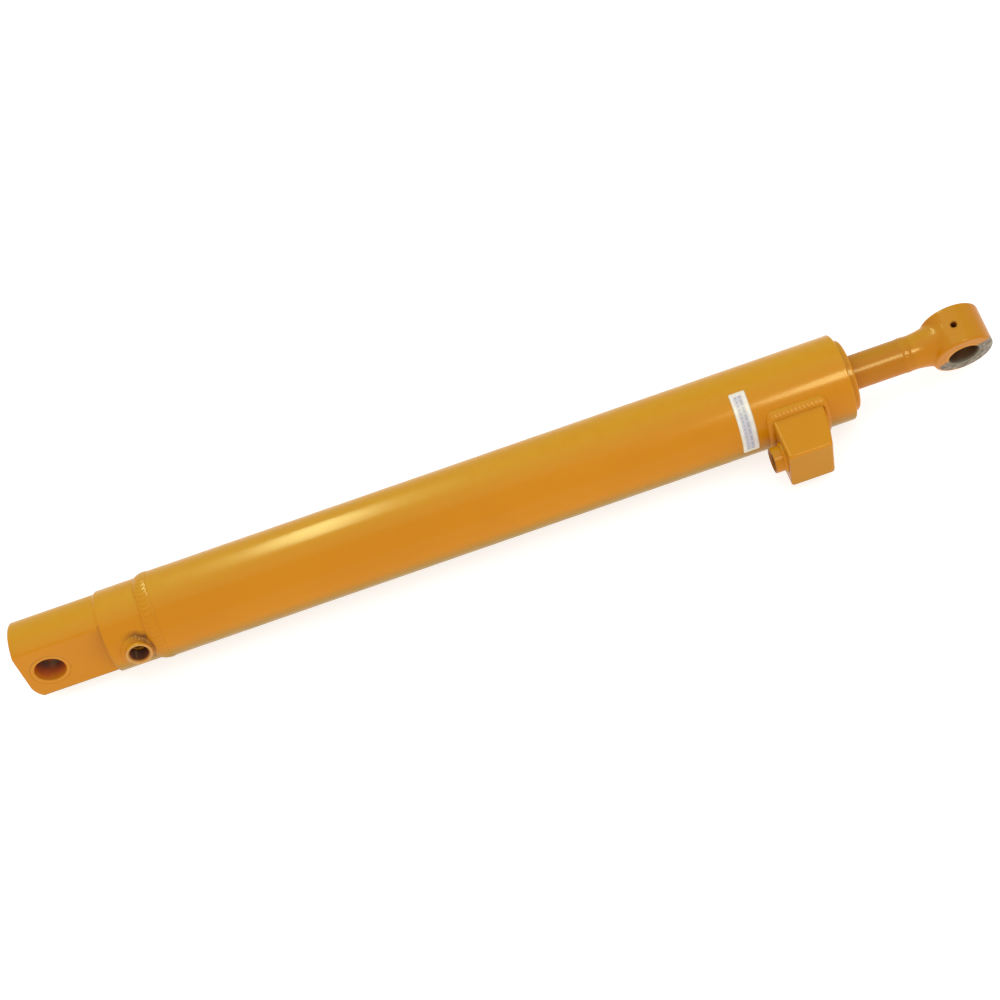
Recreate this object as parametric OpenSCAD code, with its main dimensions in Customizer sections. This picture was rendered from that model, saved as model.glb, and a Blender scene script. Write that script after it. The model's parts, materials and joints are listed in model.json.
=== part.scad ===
// Double-acting welded hydraulic cylinder with a cross-drilled base lug and a rod eye.
// The origin is the centre of the base pin bore. +X runs along the rod to the eye,
// +Y runs along the base pin bore and +Z is up. The rod is drawn fully retracted.

/* [Barrel] */
// Bore of the honed tube
bore_d = 80; // [79:0.5:81]
// Outside diameter of the tube
tube_d = 90; // [88:0.5:94]
// Travel of the piston from fully in to fully out
stroke = 575; // [300:5:800]

/* [Base lug] */
// Pin diameter at both ends
pin_d = 32; // [28:1:34]
// Outside diameter of the bushes at both ends
bush_d = 40; // [38:1:42]
// Distance from the pin centre to the end of the lug
lug_back = 28; // [26:1:34]
// Diameter of the turned lug
lug_d = 82; // [78:1:84]
// Width of the lug over its two flats
lug_width = 49; // [44:1:54]
// Radius of the rounding at the lug's lower corner, seen along the pin
lug_toe_r = 26; // [10:1:32]
// Distance from the pin centre to the shoulder at the end of the flats
flat_len = 64; // [58:1:68]
// Diameter of the round collar behind the flats
collar_d = 85; // [84:0.5:87]
// Distance from the pin centre to the joint between collar and tube
joint_x = 112; // [111:0.5:114]

/* [Ports] */
// Tapping diameter of both oil ports, a half-inch parallel pipe thread
port_hole_d = 18.6; // [16:0.2:19.4]
// Outside diameter of the base port boss
base_boss_d = 27; // [25:0.5:27]
// Distance from the cylinder axis to the mouth of the base port
base_boss_reach = 47.5; // [46.5:0.5:52]
// Turn of the base port about the cylinder axis, upwards from -Y, in degrees
base_port_turn = 4; // [0:1:20]
// Outside diameter of the head port boss
head_boss_d = 26; // [24:0.5:26.5]
// Distance of the head port's middle from the middle of the tube
head_port_reach = 69; // [66:0.5:72]

/* [Head block] */
// Length of the block along the tube
block_len = 54; // [46:1:58]
// Thickness of the block across the tube
block_width = 50; // [44:1:54]
// Distance from the cylinder axis to the outer face of the block
block_reach = 89; // [84:1:92]
// How much shorter the block is at its outer face
block_taper = 9; // [2:1:12]
// Turn of the block about the cylinder axis, away from the base port, in degrees
block_turn = 9; // [0:1:30]

/* [Rod and eye] */
// Diameter of the piston rod
rod_d = 36; // [34:0.5:36]
// Distance from the end of the tube to the centre of the rod eye
eye_reach = 123; // [110:1:160]
// Outside diameter of the rod eye
eye_d = 62; // [58:1:64]
// Width of the rod eye
eye_width = 43; // [40:1:46]
// Turn of the eye about the cylinder axis, in degrees
eye_turn = 20; // [0:1:90]
// Diameter of the grease hole in the eye
grease_d = 6; // [4:0.5:7]
// Distance of the grease hole from the middle of the eye, towards the rod
grease_back = 5; // [0:0.5:8]

/* [Label] */
// Width of the label along the tube
label_width = 17; // [12:1:24]
// Angle that the label wraps around the tube, in degrees
label_wrap = 87; // [60:1:120]

/* [Hidden] */
$fn = 96;

// Clearances: sliding fits, rings in their grooves, and the gap left at each end stop
slide_gap = 0.05;
rod_gap = 0.03;
groove_gap = 0.1;
stop_gap = 1;

// Radii
bore_r = bore_d / 2;
tube_r = tube_d / 2;
rod_r = rod_d / 2;
pin_r = pin_d / 2;
bush_r = bush_d / 2;
lug_r = lug_d / 2;
collar_r = collar_d / 2;
port_r = port_hole_d / 2;
base_boss_r = base_boss_d / 2;
head_boss_r = head_boss_d / 2;
eye_r = eye_d / 2;
grease_floor = bush_r + 1;

// Base end
root_land = 1;
collar_prep = 3;
lug_corner = 4;
spigot_len = 10;
oil_r = 7;
base_port_x = joint_x - 19;
base_seat = 31;
bead_back = 5;
bead_front = 8;
bead_height = 1.8;

// Piston, its nut and the reduced end of the rod that carries them
piston_x = joint_x + 38;
piston_len = 44;
piston_end = piston_x + piston_len;
piston_r = bore_r - 0.08;
spigot_r = 14;
thread_r = 13.5;
nut_len = 22;
nut_flats = 41;
nut_x = piston_x - nut_len;
screw_r = 3;

// Piston grooves: the start and width of each, and the radius of its floor
rear_groove_x = piston_x + 4;
seal_groove_x = piston_x + 18;
front_groove_x = piston_x + 30;
guide_groove_w = 10;
seal_groove_w = 8;
guide_floor = bore_r - 2.6;
seal_floor = bore_r - 7;
static_groove_x = piston_x + 20;
static_groove_w = 4;
static_groove_r = spigot_r + 2.2;

// Gland, from its inner face to the end of its nose
gland_x = piston_end + stroke + stop_gap;
skirt_len = 26;
skirt_r = bore_r - 8;
gland_body_x = gland_x + skirt_len;
gland_body_len = 42;
shoulder_x = gland_body_x + gland_body_len;
nose_r = bore_r - 3;
nose_x = shoulder_x + 16;
nose_chamfer = 1.5;
gland_r = bore_r - slide_gap;
gland_bore_r = rod_r + 0.09;
wiper_x = nose_x - 8.5;
wiper_w = 6;
wiper_mouth_r = rod_r + 2;
seal_x = wiper_x - 15;
seal_w = 8;
seal_r = rod_r + 6;
guide_x = seal_x - 22;
guide_w = 15;
guide_r = rod_r + 2.5;
gland_groove_x = gland_body_x + 16;
gland_groove_w = 9;
gland_groove_r = bore_r - 4.2;
ring_wire_r = 2;
ring_x = shoulder_x + ring_wire_r + groove_gap;

// Tube and what is welded to its head end
mouth_depth = 9;
tube_end = shoulder_x + mouth_depth;
block_x = gland_x - 10;
passage_x = gland_x + 14;
passage_r = 6;
head_port_r = head_port_reach;
head_boss_len = 12;
head_seat = 5;
fillet = 5.5;

// Rod eye and its neck
eye_x = tube_end + eye_reach;
rod_weld_x = eye_x - 56;
weld_prep = 4;
neck_x = rod_weld_x + 6;
neck_end = eye_x - 16;
neck_end_r = sqrt(eye_r * eye_r - 16 * 16) - 0.15;
neck_steps = 10;

label_x = block_x - 33;
label_thick = 0.3;
label_turn = -26.5;

// A solid turned about the cylinder axis from a profile of [x, radius] points
module turned(profile) {
    rotate([0, 90, 0]) rotate_extrude() polygon([for (p = profile) [p[1], p[0]]]);
}

// The same, swept only over an arc of `wrap` degrees centred `turn` degrees round from -Y
module turned_arc(profile, turn, wrap) {
    rotate([0, 90, 0]) rotate([0, 0, turn - 90 - wrap / 2])
        rotate_extrude(angle = wrap) polygon([for (p = profile) [p[1], p[0]]]);
}

// A ring of square section about the cylinder axis
module square_ring(x, width, inner, outer) {
    turned([[x, inner], [x, outer], [x + width, outer], [x + width, inner]]);
}

// A ring of round section about the cylinder axis
module round_ring(x, centre_r, section_r) {
    rotate([0, 90, 0]) translate([0, 0, x])
        rotate_extrude() translate([centre_r, 0]) circle(r = section_r, $fn = 48);
}

// A round bar across the axis at x, from radius r0 to radius r1, `turn` degrees round from -Y
module radial_bar(x, r0, r1, r, turn = 0) {
    translate([x, 0, 0]) rotate([turn, 0, 0]) translate([0, -r1, 0])
        rotate([-90, 0, 0]) cylinder(h = r1 - r0, r = r);
}

// A round bar along the axis from x0 to x1, offset by `reach` from the axis
module axial_bar(x0, x1, r, reach = 0, turn = 0) {
    rotate([turn, 0, 0]) translate([x0, -reach, 0]) rotate([0, 90, 0])
        cylinder(h = x1 - x0, r = r);
}

// A cut through one side of a split ring
module ring_slit(x, width, slit, turn) {
    rotate([turn, 0, 0]) translate([x - 1, -bore_r - 5, -slit / 2])
        cube([width + 2, bore_r + 5, slit]);
}

module barrel_tube() {
    color("goldenrod") difference() {
        turned([
            [joint_x, bore_r], [joint_x, bore_r + root_land],
            [joint_x + tube_r - bore_r - root_land, tube_r],
            [tube_end - 1, tube_r], [tube_end, tube_r - 1],
            [tube_end, bore_r + 1], [tube_end - 1, bore_r]
        ]);
        round_ring(ring_x, bore_r, ring_wire_r + 0.05);
        radial_bar(passage_x, bore_r - 4, tube_r + 4, passage_r, block_turn);
    }
}

// The turned outline of the lug, the collar and the spigot that enters the tube
function cap_profile() = concat(
    [[-lug_back, 0]],
    [for (i = [0:6]) [
        -lug_back + lug_corner * (1 - cos(15 * i)),
        lug_r - lug_corner * (1 - sin(15 * i))
    ]],
    [
        [flat_len, lug_r], [flat_len, collar_r],
        [joint_x - collar_prep, collar_r], [joint_x, bore_r + root_land],
        [joint_x, bore_r - slide_gap],
        [joint_x + spigot_len - 1, bore_r - slide_gap],
        [joint_x + spigot_len, bore_r - 1], [joint_x + spigot_len, 0]
    ]
);

// What lies outside the rounding at the lug's lower corner
module toe_waste() {
    translate([lug_toe_r - lug_back, 0, lug_toe_r - lug_r]) rotate([90, 0, 0]) difference() {
        translate([-lug_toe_r - 5, -lug_toe_r - 5, -lug_r])
            cube([lug_toe_r + 5, lug_toe_r + 5, 2 * lug_r]);
        cylinder(h = lug_d + 2, r = lug_toe_r, center = true);
    }
}

module base_cap() {
    flat_y = lug_width / 2;
    color("goldenrod") difference() {
        turned(cap_profile());
        for (side = [0, 180]) rotate([side, 0, 0])
            translate([-lug_back - 5, flat_y, -lug_d])
                cube([lug_back + 5 + flat_len, lug_d, 2 * lug_d]);
        toe_waste();
        rotate([90, 0, 0]) cylinder(h = lug_d, r = bush_r, center = true);
        radial_bar(base_port_x, base_seat, tube_d, base_boss_r, -base_port_turn);
        radial_bar(base_port_x, 0, base_seat + 1, oil_r, -base_port_turn);
        axial_bar(base_port_x, joint_x + spigot_len + 1, oil_r + 1);
    }
}

// The bead that joins collar and tube, with a root that fills the weld preparation
module base_weld() {
    length = bead_back + bead_front;
    step = tube_r - collar_r;
    bead = [for (i = [0:10]) [
        joint_x - bead_back + length * i / 10,
        collar_r + step * i / 10 + bead_height * sin(18 * i)
    ]];
    color("goldenrod") turned(concat(bead, [
        [joint_x + tube_r - bore_r - root_land, tube_r],
        [joint_x, bore_r + root_land],
        [joint_x - collar_prep, collar_r]
    ]));
}

// A plain bush with a small chamfer at each mouth, along Y and centred on the origin
module pin_bush(length) {
    rotate([90, 0, 0]) difference() {
        cylinder(h = length, r = bush_r, center = true);
        cylinder(h = length + 2, r = pin_r, center = true);
        for (end = [0, 180]) rotate([end, 0, 0])
            translate([0, 0, length / 2 - 1]) cylinder(h = 2, r1 = pin_r, r2 = pin_r + 2);
    }
}

module base_bush() {
    color("dimgray") pin_bush(lug_width - 1);
}

module base_port_boss() {
    color("goldenrod") difference() {
        radial_bar(base_port_x, base_seat, base_boss_reach, base_boss_r, -base_port_turn);
        radial_bar(base_port_x, base_seat - 1, base_boss_reach + 1, port_r, -base_port_turn);
    }
}

// A fillet around the base port boss, stopped where the tube's own bead starts
module base_port_weld() {
    top = base_boss_reach - 2;
    low = collar_r - 6.5;
    color("goldenrod") difference() {
        rotate([-base_port_turn, 0, 0]) translate([base_port_x, -top, 0]) rotate([-90, 0, 0])
            cylinder(h = top - low, r1 = base_boss_r + 0.7, r2 = base_boss_r + 6.5);
        axial_bar(0, joint_x, collar_r);
        radial_bar(base_port_x, 0, tube_d, base_boss_r, -base_port_turn);
        translate([joint_x - bead_back, -tube_d, -tube_d]) cube(2 * tube_d);
    }
}

module head_port_block() {
    half = block_width / 2;
    color("goldenrod") difference() {
        rotate([block_turn, 0, 0]) translate([0, 0, -half]) linear_extrude(block_width)
            polygon([
                [block_x, -bore_r + 8], [block_x + block_len, -bore_r + 8],
                [block_x + block_len, -tube_r - 6],
                [block_x + block_len - block_taper, -block_reach], [block_x, -block_reach]
            ]);
        axial_bar(block_x - 5, block_x + block_len + 5, tube_r);
        axial_bar(block_x - 1, block_x + head_seat, head_boss_r, head_port_r, block_turn);
        axial_bar(block_x, passage_x, oil_r, head_port_r, block_turn);
        radial_bar(passage_x, bore_r, head_port_r, passage_r, block_turn);
    }
}

// Fillets along both sides of the block and across both of its ends
module head_block_weld() {
    half = block_width / 2;
    foot = sqrt(tube_r * tube_r - half * half);
    wrap = 2 * asin(half / tube_r) + 4;
    block_end = block_x + block_len;
    color("goldenrod") difference() {
        union() {
            for (side = [0, 1]) rotate([block_turn, 0, 0]) mirror([0, 0, side])
                translate([block_x - 3, 0, 0]) rotate([90, 0, 90])
                    linear_extrude(block_len + 6)
                        polygon([[-foot - fillet, half], [-foot + 6, half], [-foot + 6, half + 6]]);
            turned_arc(
                [[block_x, tube_r - 1], [block_x - fillet, tube_r - 1], [block_x, tube_r + fillet]],
                block_turn, wrap
            );
            turned_arc(
                [[block_end, tube_r - 1], [block_end + fillet, tube_r - 1], [block_end, tube_r + 5]],
                block_turn, wrap
            );
        }
        axial_bar(block_x - 20, block_end + 20, tube_r);
    }
}

module head_port_boss() {
    color("goldenrod") difference() {
        axial_bar(block_x - head_boss_len, block_x + head_seat, head_boss_r, head_port_r,
                  block_turn);
        axial_bar(block_x - head_boss_len - 1, block_x + head_seat + 1, port_r, head_port_r,
                  block_turn);
    }
}

module head_boss_weld() {
    leg = 3;
    color("goldenrod") difference() {
        intersection() {
            rotate([block_turn, 0, 0]) translate([block_x - leg, -head_port_r, 0])
                rotate([0, 90, 0])
                    cylinder(h = leg, r1 = head_boss_r + 0.4, r2 = head_boss_r + leg);
            rotate([block_turn, 0, 0]) translate([block_x - 2 * leg, -block_reach, -block_width / 2])
                cube([3 * leg, block_reach, block_width]);
        }
        axial_bar(block_x - 2 * leg, block_x + leg, head_boss_r, head_port_r, block_turn);
    }
}

module gland() {
    color("goldenrod") difference() {
        turned([
            [gland_x, gland_bore_r], [gland_x, skirt_r - 1], [gland_x + 1, skirt_r],
            [gland_body_x, skirt_r], [gland_body_x, gland_r - 1], [gland_body_x + 1, gland_r],
            [gland_groove_x, gland_r], [gland_groove_x, gland_groove_r],
            [gland_groove_x + gland_groove_w, gland_groove_r],
            [gland_groove_x + gland_groove_w, gland_r],
            [shoulder_x, gland_r], [shoulder_x, nose_r],
            [nose_x - nose_chamfer, nose_r], [nose_x, nose_r - nose_chamfer],
            [nose_x, wiper_mouth_r], [wiper_x + wiper_w, wiper_mouth_r],
            [wiper_x + wiper_w, seal_r], [wiper_x, seal_r], [wiper_x, gland_bore_r],
            [seal_x + seal_w, gland_bore_r], [seal_x + seal_w, seal_r], [seal_x, seal_r],
            [seal_x, gland_bore_r], [guide_x + guide_w, gland_bore_r],
            [guide_x + guide_w, guide_r], [guide_x, guide_r], [guide_x, gland_bore_r]
        ]);
        for (turn = [0, 180]) axial_bar(nose_x - 10, nose_x + 1, 3, nose_r - 6.5, turn + 60);
    }
}

module gland_retaining_ring() {
    color("silver") difference() {
        round_ring(ring_x, bore_r, ring_wire_r);
        ring_slit(ring_x - ring_wire_r, 2 * ring_wire_r, 9, 200);
    }
}

module gland_o_ring() {
    section = (gland_r - gland_groove_r) / 2 - 0.03;
    color("black")
        round_ring(gland_groove_x + section + 0.6, (gland_r + gland_groove_r) / 2, section);
}

module gland_backup_ring() {
    width = 3.2;
    color("white")
        square_ring(gland_groove_x + gland_groove_w - width - groove_gap, width,
                    gland_groove_r + slide_gap, gland_r);
}

// U-cup with its open side towards the oil
module rod_seal() {
    back = seal_x + seal_w - groove_gap;
    open = seal_x + groove_gap;
    outer = seal_r - slide_gap;
    lip = rod_r + rod_gap;
    color("darkgreen") turned([
        [back, lip + 0.5], [back, outer - 0.2], [open + 1, outer], [open, outer - 0.4],
        [open, lip + 3.9], [open + 3.4, lip + 2.9], [open, lip + 1.9], [open, lip + 0.4],
        [open + 0.9, lip], [open + 2.8, lip + 0.4]
    ]);
}

module rod_wiper() {
    back = wiper_x + groove_gap;
    front = wiper_x + wiper_w - groove_gap;
    outer = seal_r - slide_gap;
    lip = rod_r + rod_gap;
    tip = nose_x + 1.2;
    color("black") turned([
        [back, lip + 0.6], [back, outer], [front, outer], [front, wiper_mouth_r - 0.2],
        [nose_x - 0.5, wiper_mouth_r - 0.4], [tip, lip + 0.5], [tip - 0.2, lip],
        [tip - 1.4, lip], [front - 2, lip + 0.6]
    ]);
}

module rod_guide_ring() {
    color("saddlebrown") difference() {
        square_ring(guide_x + groove_gap, guide_w - 2 * groove_gap, rod_r + rod_gap,
                    guide_r - slide_gap);
        ring_slit(guide_x, guide_w, 1.5, 150);
    }
}

module label() {
    color("white") turned_arc(
        [
            [label_x, tube_r], [label_x, tube_r + label_thick],
            [label_x + label_width, tube_r + label_thick], [label_x + label_width, tube_r]
        ],
        label_turn, label_wrap
    );
}

module piston_seal() {
    color("gray") square_ring(seal_groove_x + groove_gap, seal_groove_w - 2 * groove_gap,
                              seal_floor + 3.6, bore_r - rod_gap);
}

module piston_energiser_ring() {
    section = 1.75;
    color("black")
        round_ring(seal_groove_x + seal_groove_w / 2, seal_floor + section + slide_gap, section);
}

module piston_guide_ring(groove_x, turn) {
    color("saddlebrown") difference() {
        square_ring(groove_x + groove_gap, guide_groove_w - 2 * groove_gap,
                    guide_floor + slide_gap, bore_r - rod_gap);
        ring_slit(groove_x, guide_groove_w, 2, turn);
    }
}

module piston_guide_ring_rear() {
    piston_guide_ring(rear_groove_x, 100);
}

module piston_guide_ring_front() {
    piston_guide_ring(front_groove_x, 280);
}

module piston_rod() {
    color("goldenrod") turned([
        [nut_x - 2, 0], [nut_x - 2, thread_r - 1], [nut_x - 1, thread_r],
        [piston_x, thread_r], [piston_x, spigot_r], [piston_end, spigot_r],
        [piston_end, rod_r - 0.5], [piston_end + 0.5, rod_r],
        [rod_weld_x - weld_prep, rod_r], [rod_weld_x, rod_r - weld_prep], [rod_weld_x, 0]
    ]);
}

// Radius of the neck that flares from the rod to the eye: a circular arc tangent to the rod
neck_rise = neck_end_r - rod_r;
neck_run = neck_end - neck_x;
neck_arc_r = (neck_run * neck_run + neck_rise * neck_rise) / (2 * neck_rise);
function neck_r(d) = rod_r + neck_arc_r - sqrt(neck_arc_r * neck_arc_r - d * d);

module rod_eye() {
    color("goldenrod") translate([eye_x, 0, 0]) rotate([eye_turn, 0, 0]) difference() {
        union() {
            rotate([90, 0, 0]) cylinder(h = eye_width, r = eye_r, center = true);
            intersection() {
                translate([-eye_x, 0, 0]) turned(concat(
                    [[rod_weld_x, 0], [rod_weld_x, rod_r - weld_prep],
                     [rod_weld_x + weld_prep, rod_r]],
                    [for (i = [0:neck_steps]) [
                        neck_x + neck_run * i / neck_steps,
                        neck_r(neck_run * i / neck_steps)
                    ]],
                    [[neck_end, 0]]
                ));
                cube([200, eye_width, 200], center = true);
            }
        }
        rotate([90, 0, 0]) cylinder(h = eye_width + 2, r = bush_r, center = true);
        translate([-grease_back, 0, grease_floor]) cylinder(h = eye_r, r = grease_d / 2);
        translate([-grease_back, 0, 0]) cylinder(h = eye_r, r = grease_d / 4);
    }
}

module rod_eye_weld() {
    proud = 0.7;
    reach = weld_prep + 0.8;
    color("goldenrod") turned([
        [rod_weld_x - reach, rod_r], [rod_weld_x - reach / 2, rod_r + proud],
        [rod_weld_x + reach / 2, rod_r + proud], [rod_weld_x + reach, rod_r],
        [rod_weld_x + weld_prep, rod_r], [rod_weld_x, rod_r - weld_prep],
        [rod_weld_x - weld_prep, rod_r]
    ]);
}

module rod_eye_bush() {
    color("dimgray") translate([eye_x, 0, 0]) rotate([eye_turn, 0, 0]) difference() {
        pin_bush(eye_width - 1);
        translate([-grease_back, 0, 0]) cylinder(h = bush_r + 2, r = grease_d / 4);
    }
}

module piston() {
    color("lightgray") turned([
        [piston_x, spigot_r], [piston_x, piston_r - 1.5], [piston_x + 1.5, piston_r],
        [rear_groove_x, piston_r], [rear_groove_x, guide_floor],
        [rear_groove_x + guide_groove_w, guide_floor],
        [rear_groove_x + guide_groove_w, piston_r],
        [seal_groove_x, piston_r], [seal_groove_x, seal_floor],
        [seal_groove_x + seal_groove_w, seal_floor],
        [seal_groove_x + seal_groove_w, piston_r],
        [front_groove_x, piston_r], [front_groove_x, guide_floor],
        [front_groove_x + guide_groove_w, guide_floor],
        [front_groove_x + guide_groove_w, piston_r],
        [piston_end - 1.5, piston_r], [piston_end, piston_r - 1.5], [piston_end, spigot_r],
        [static_groove_x + static_groove_w, spigot_r],
        [static_groove_x + static_groove_w, static_groove_r],
        [static_groove_x, static_groove_r], [static_groove_x, spigot_r]
    ]);
}

module piston_nut() {
    corner_r = nut_flats / sqrt(3);
    color("silver") difference() {
        intersection() {
            translate([nut_x, 0, 0]) rotate([0, 90, 0])
                cylinder(h = nut_len, r = corner_r, $fn = 6);
            turned([
                [nut_x, 0], [nut_x, corner_r - 2.5], [nut_x + 1.5, corner_r + 0.1],
                [nut_x + nut_len, corner_r + 0.1], [nut_x + nut_len, 0]
            ]);
        }
        axial_bar(nut_x - 1, piston_x + 1, thread_r);
        radial_bar(nut_x + nut_len / 2, 0, nut_flats, screw_r);
    }
}

module nut_lock_screw() {
    outer = nut_flats / 2 - 0.5;
    color("black") difference() {
        radial_bar(nut_x + nut_len / 2, thread_r + 0.2, outer, screw_r);
        translate([nut_x + nut_len / 2, -outer - 1, 0]) rotate([-90, 0, 0])
            cylinder(h = 4, r = 1.7, $fn = 6);
    }
}

module piston_o_ring() {
    section = (static_groove_r - spigot_r) / 2 - 0.05;
    color("black")
        round_ring(static_groove_x + static_groove_w / 2, (static_groove_r + spigot_r) / 2, section);
}

barrel_tube();
base_cap();
base_weld();
base_bush();
base_port_boss();
base_port_weld();
head_port_block();
head_block_weld();
head_port_boss();
head_boss_weld();
gland();
gland_retaining_ring();
gland_o_ring();
gland_backup_ring();
rod_seal();
rod_wiper();
rod_guide_ring();
label();
piston_seal();
piston_energiser_ring();
piston_guide_ring_rear();
piston_guide_ring_front();
piston_rod();
rod_eye();
rod_eye_weld();
rod_eye_bush();
piston();
piston_nut();
nut_lock_screw();
piston_o_ring();
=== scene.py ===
"""Looks of a welded hydraulic cylinder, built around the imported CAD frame.

Shapes are worked out in millimetres in the frame's own axes and scaled to metres when a mesh is made.
X runs along the rod, Y along the base pin bore, Z up.
"""

import json
import math

import bmesh
import bpy
import numpy as np
from mathutils import Matrix, Vector


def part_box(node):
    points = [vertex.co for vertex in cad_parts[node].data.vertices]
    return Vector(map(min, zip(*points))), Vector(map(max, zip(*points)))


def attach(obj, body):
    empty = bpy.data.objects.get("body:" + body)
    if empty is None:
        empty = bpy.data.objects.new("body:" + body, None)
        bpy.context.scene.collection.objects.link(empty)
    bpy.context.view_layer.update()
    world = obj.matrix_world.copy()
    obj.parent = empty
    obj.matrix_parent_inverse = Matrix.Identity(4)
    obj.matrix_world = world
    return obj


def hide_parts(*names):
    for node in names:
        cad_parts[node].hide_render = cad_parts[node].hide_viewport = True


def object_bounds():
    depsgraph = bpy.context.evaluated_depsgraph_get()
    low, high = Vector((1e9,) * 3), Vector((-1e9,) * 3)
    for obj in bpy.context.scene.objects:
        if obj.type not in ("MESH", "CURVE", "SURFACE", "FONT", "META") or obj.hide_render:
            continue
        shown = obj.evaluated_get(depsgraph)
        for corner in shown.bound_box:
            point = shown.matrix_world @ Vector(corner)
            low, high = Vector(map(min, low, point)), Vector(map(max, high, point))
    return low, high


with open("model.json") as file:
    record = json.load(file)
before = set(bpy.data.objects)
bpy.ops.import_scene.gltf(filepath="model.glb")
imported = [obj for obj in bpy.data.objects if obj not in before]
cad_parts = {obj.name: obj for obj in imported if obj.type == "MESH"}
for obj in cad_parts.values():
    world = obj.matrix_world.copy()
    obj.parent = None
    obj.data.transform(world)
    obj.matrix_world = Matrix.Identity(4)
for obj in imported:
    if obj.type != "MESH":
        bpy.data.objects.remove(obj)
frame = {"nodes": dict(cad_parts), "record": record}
cad_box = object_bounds()

MM = 0.001

# ---------------------------------------------------------------- sizes, in millimetres


def box_mm(node):
    """Lowest and highest corner of a CAD node, in millimetres."""
    low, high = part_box(node)
    return np.array(low) / MM, np.array(high) / MM


mounts = {m["name"]: m for m in frame["record"]["mounts"]}
tube_low, tube_high = box_mm("barrel_tube")
cap_low, cap_high = box_mm("base_cap")
boss_low, boss_high = box_mm("base_port_boss")
head_boss_low = box_mm("head_port_boss")[0]
block_low, block_high = box_mm("head_port_block")
gland_high = box_mm("gland")[1]
rod_low, rod_high = box_mm("piston_rod")
eye_low, eye_high = box_mm("rod_eye")
label_low, label_high = box_mm("label")

JOINT_X = tube_low[0]
TUBE_END = tube_high[0]
TUBE_R = tube_high[2]
BORE_R = 40.0
SPIGOT_R = BORE_R - 0.3
SPIGOT_END = JOINT_X + 10
COLLAR_R = cap_high[2]
LUG_R = COLLAR_R - 1.5
LUG_END = cap_low[0]
LUG_CORNER = 4.0
LUG_TOE_R = 26.0
FLAT_Y = box_mm("base_bush")[1][1] + 0.5
FLAT_END = 64.0
PIN_R = mounts["base_pin_bore"]["dims"]["r_mm"]
BUSH_R = PIN_R + 4.0
PORT_R = mounts["base_port"]["dims"]["r_mm"]
port_middle = Vector(mounts["base_port"]["pos_m"]) / MM
PORT_X = port_middle.x
PORT_TURN = math.atan2(-port_middle.z, -port_middle.y)
PORT_DEPTH = mounts["base_port"]["dims"]["length_mm"]
PORT_MOUTH = math.hypot(port_middle.y, port_middle.z) + PORT_DEPTH / 2
PORT_SEAT = PORT_MOUTH - PORT_DEPTH
PORT_BOSS_R = (boss_high[0] - boss_low[0]) / 2
OIL_R = 7.0
SEAT_GAP = 0.05

head_axis = Vector(mounts["head_port"]["pos_m"]) / MM
HEAD_TURN = math.atan2(-head_axis.z, -head_axis.y)
HEAD_PORT_REACH = math.hypot(head_axis.y, head_axis.z)
HEAD_BOSS_R = 13.0
HEAD_SEAT = 5.0
BLOCK_X = block_low[0]
BLOCK_END = block_high[0]
BLOCK_HALF = 25.0
BLOCK_REACH = (-block_low[1] - BLOCK_HALF * math.sin(HEAD_TURN)) / math.cos(HEAD_TURN)
BLOCK_CORNER = 3.2
BLOCK_TAPER = 9.0
BLOCK_TAPER_START = TUBE_R + 6.0
PASSAGE_X = BLOCK_X + 24.0
PASSAGE_R = 6.0

NOSE_X = gland_high[0]
SHOULDER_X = NOSE_X - 16.0
ROD_R = rod_high[2]
ROD_START = rod_low[0]
ROD_WELD_X = rod_high[0]

eye_mount = mounts["rod_eye_bore"]
EYE_X = eye_mount["pos_m"][0] / MM
EYE_TURN = math.atan2(-eye_mount["axis"][2], -eye_mount["axis"][1])
EYE_R = eye_high[0] - EYE_X
EYE_HALF = eye_mount["dims"]["length_mm"] / 2 + 0.5
NECK_START = ROD_WELD_X - EYE_X + 6.0
NECK_END = -16.0
GREASE_R = mounts["eye_grease_hole"]["dims"]["r_mm"]
GREASE_X = mounts["eye_grease_hole"]["pos_m"][0] / MM - EYE_X

# ---------------------------------------------------------------- materials


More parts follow.
